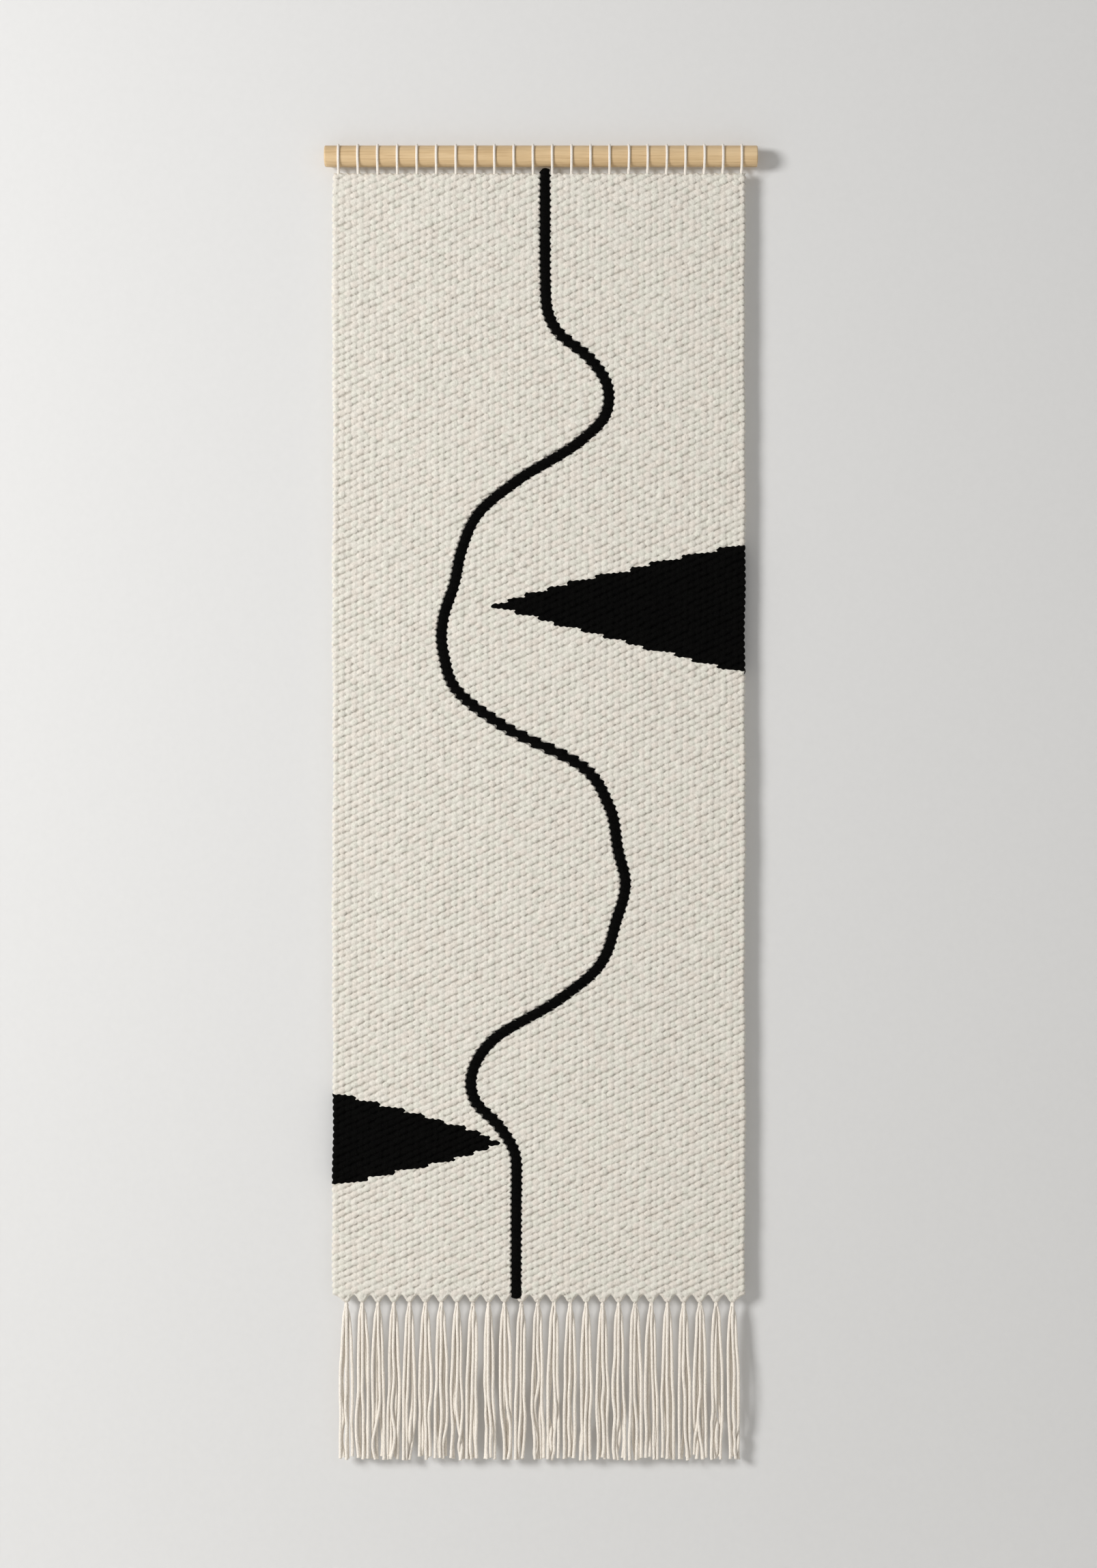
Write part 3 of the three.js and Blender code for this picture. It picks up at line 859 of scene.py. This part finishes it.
def build_fringe(material):
    """Tassels of loose plied strands, each with a winding round its neck."""
    x, y, down, length, trim = strand_paths()
    local = np.random.default_rng(SEED + 9)
    made = []
    for t, body in enumerate(tassel_bodies):
        parts = []
        for s in range(STRANDS):
            z = PIVOT + STRAND_TOP - down * (length + STRAND_EXTRA) * trim[t, s]
            path = np.stack([tassel_x[t] + x[t, s], y[t, s], z], 1)
            radius = STRAND_RADIUS * (1 + 0.05 * local.normal())
            taper = radius * (1 - 0.5 * smoothstep(0.09, 0, down))
            taper = taper * (1 + 0.12 * smoothstep(0.985, 0.995, down))
            phase = local.uniform(0, np.pi)
            parts.append(sweep(path, taper, STRAND_SIDES, STRAND_PLIES, PLY_PITCH, phase))
        wind = np.linspace(0, 1, 40)
        angle = wind * 2.4 * 2 * np.pi + local.uniform(0, 6)
        ring = NECK_RADIUS + 0.3 * MM * wind
        z = PIVOT - NECK_TOP - wind * NECK_HEIGHT
        coil = [tassel_x[t] + ring * np.cos(angle), ring * np.sin(angle), z]
        parts.append(sweep(np.stack(coil, 1), NECK_CORD, 8))
        piece = joined(f"fringe_{body[-2:]}", parts)
        piece.data.materials.append(material)
        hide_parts(body)
        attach(piece, body)
        made.append(piece)
    return made


def build_loops(material):
    """Thin round cords from the cloth's top edge, over the rod and down behind it."""
    made = []
    local = np.random.default_rng(SEED + 13)
    nodes = sorted(name for name in frame["nodes"] if name.startswith("loop"))
    for name in nodes:
        low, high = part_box(name)
        middle = (low.x + high.x) / 2
        r = ROD_RADIUS + LOOP_SQUEEZE * LOOP_CORD + 0.1 * MM
        foot_y, foot_z = LOOP_FOOT[0], TOP - LOOP_FOOT[1]
        reach = math.hypot(foot_y, foot_z)
        start = math.acos(r / reach) + math.atan2(foot_y, -foot_z)
        angle = np.linspace(start, 2 * np.pi - start, 56)
        arc = np.stack([-r * np.sin(angle), -r * np.cos(angle)], 1)
        leg = np.linspace(0, 1, 9)[:-1, None]
        first = np.array([-foot_y, foot_z]) * (1 - leg) + arc[0] * leg
        back = np.array([foot_y, foot_z])
        last = arc[-1] + (back - arc[-1]) * np.linspace(0.125, 1, 8)[:, None]
        yz = np.concatenate([first, arc, last])
        lean = local.normal(0, 0.2 * MM)
        xs = middle + lean * np.sin(np.linspace(0, np.pi * 2, len(yz)))
        path = np.column_stack([xs, yz])
        twist = local.uniform(0, 3)
        cord = sweep(path, LOOP_CORD, 14, 3, LOOP_PITCH, twist, 0.03, LOOP_SQUEEZE)
        piece = joined(f"hanging_{name}", [cord])
        piece.data.materials.append(material)
        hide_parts(name)
        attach(piece, "cloth")
        made.append(piece)
    return made


def build_rod(material):
    """A round dowel, sawn square, with worn edges at its ends."""
    sides, steps = 72, 90
    half = (rod_high.x - rod_low.x) / 2
    inner = np.linspace(-half + ROD_PLAIN, half - ROD_PLAIN, steps)
    along = np.concatenate([
        [-half + a * MM for a, _ in ROD_ENDS], inner, [half - a * MM for a, _ in reversed(ROD_ENDS)],
    ])
    radius = np.concatenate([
        [ROD_RADIUS + b * MM for _, b in ROD_ENDS], np.full(steps, ROD_RADIUS),
        [ROD_RADIUS + b * MM for _, b in reversed(ROD_ENDS)],
    ])
    turn = np.linspace(0, 2 * np.pi, sides, endpoint=False)
    uneven = 0.04 * MM * np.sin(3 * turn)[None, :] * np.sin(along * 23)[:, None]
    r = radius[:, None] + uneven
    near_end = np.exp(-((along + half) / ROD_PLAIN) ** 2)[:, None]
    near_corner = np.exp(-(((turn - 1.5 * np.pi + 0.3) / 0.6) ** 2))[None, :]
    worn = near_end * near_corner
    r = r - ROD_WEAR * worn
    ys = r * np.cos(turn)
    zs = r * np.sin(turn)
    xs = np.repeat(along[:, None], sides, 1)
    verts, faces = tube_faces(xs, ys, zs)
    made = mesh_object("dowel", verts, faces)
    made.data.materials.append(material)
    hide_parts("rod")
    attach(made, "rod")
    return made


# -------------------------------------------------------------------- stage

def stage_material(name, colour, one_sided):
    """Matte paint. One-sided paint is clear from behind, so the back can be seen."""
    n = Nodes(name)
    grain = n.noise(140.0, 3.0)
    tone = n.ramp(grain, [(0.3, tuple(c * 0.985 for c in colour)), (0.7, colour)])
    material = n.finish(tone, 0.95, n.bump(grain, 0.1 * MM, 0.2))
    if one_sided:
        behind = n.add("ShaderNodeNewGeometry").outputs["Backfacing"]
        clear = n.add("ShaderNodeBsdfTransparent").outputs[0]
        mix = n.add("ShaderNodeMixShader", {"Fac": behind, 1: n.shader.outputs[0], 2: clear})
        output = n.tree.nodes["Material Output"]
        n.tree.links.new(mix.outputs[0], output.inputs["Surface"])
    return material


def panel(name, corners, material):
    """A flat piece of the stage."""
    made = mesh_object(name, np.array(corners, float), np.array([[0, 1, 2, 3]]))
    made.data.materials.append(material)
    return made


def area_light(name, place, size, power, colour):
    """A round light that shines at the middle of the cloth."""
    data = bpy.data.lights.new(name, "AREA")
    data.shape = "DISK"
    data.size = size
    data.energy = power
    data.color = colour
    made = bpy.data.objects.new(name, data)
    made.location = place
    aim = Vector(LIGHT_TARGET) - Vector(place)
    made.rotation_euler = aim.to_track_quat("-Z", "Y").to_euler()
    bpy.context.scene.collection.objects.link(made)


def build_stage():
    """The wall, the floor, three lights and the light of the room."""
    wall_y = ROD_RADIUS + WALL_GAP
    floor_z = cad_box[0][2] - FLOOR_GAP
    side = WALL_HALF_WIDTH
    wall = panel("wall", [
        (-side, wall_y, WALL_TOP), (-side, wall_y, floor_z),
        (side, wall_y, floor_z), (side, wall_y, WALL_TOP),
    ], stage_material("wall_paint", (0.672, 0.672, 0.672), True))
    wall.visible_shadow = False
    side = FLOOR_HALF_WIDTH
    panel("floor", [
        (-side, FLOOR_FRONT, floor_z), (side, FLOOR_FRONT, floor_z),
        (side, FLOOR_BACK, floor_z), (-side, FLOOR_BACK, floor_z),
    ], stage_material("floor_paint", (0.72, 0.71, 0.69), False))
    for light in LIGHTS:
        area_light(*light)
    world = bpy.data.worlds.new("world")
    bpy.context.scene.world = world
    world.use_nodes = True
    background = world.node_tree.nodes["Background"]
    background.inputs["Color"].default_value = WORLD_COLOUR
    background.inputs["Strength"].default_value = WORLD_STRENGTH


def declare(sheets, fringe, loops, hems):
    """Gathers, for each woven piece, the loops, fringe and hem that go with it, and does nothing more
    with them.
    """
    left = [p for p in fringe if p.name <= "fringe_11"]
    right = [p for p in fringe if p.name > "fringe_11"]
    for node, made in sheets.items():
        for k, (piece, mask, _) in enumerate(made):
            going = []
            if node.startswith("cream") and k == len(made) - 1:
                going = left if node == "cream_left" else right
                going = going + [hem for hem in hems if hem.name == f"hem_{node}"]
            if node.startswith("cream") and k == 0:
                on_left = node == "cream_left"
                going = going + [p for p in loops if (p.name <= "hanging_loop_11") == on_left]


# The third colour is both the fibre flecks and the painted shade in the creases; the number after the
# sheen sets how dark that painted shade is
cream = yarn_material(
    "cream_cotton", (0.785, 0.755, 0.685), (0.74, 0.71, 0.64), (0.40, 0.365, 0.31),
    (0.745, 0.71, 0.655), 0.55 * MM, 0.15, 0.52,
)
black = yarn_material(
    "black_cotton", (0.0022, 0.0021, 0.0019), (0.0014, 0.0013, 0.0012), (0.0005, 0.0005, 0.0005),
    (0.002, 0.002, 0.002), 0.8 * MM, 0.0, 0.9, 0.04, 0.75,
)
cord_look = yarn_material(
    "fringe_cotton", (0.90, 0.865, 0.79), (0.84, 0.80, 0.725), (0.45, 0.415, 0.35),
    (0.86, 0.82, 0.75), 0.5 * MM, 0.15, 0.3,
)
loop_look = yarn_material(
    "loop_cotton", (0.84, 0.81, 0.75), (0.78, 0.75, 0.69), (0.5, 0.47, 0.42),
    (0.8, 0.77, 0.71), 0.08 * MM, 0.15, 0.3,
)

loops = build_loops(loop_look)
fringe = build_fringe(cord_look)
grid, sheets = build_cloth(cream, black)
hems = build_hem(cream)
build_line(black)
build_rod(wood_material())
build_stage()
declare(sheets, fringe, loops, hems)
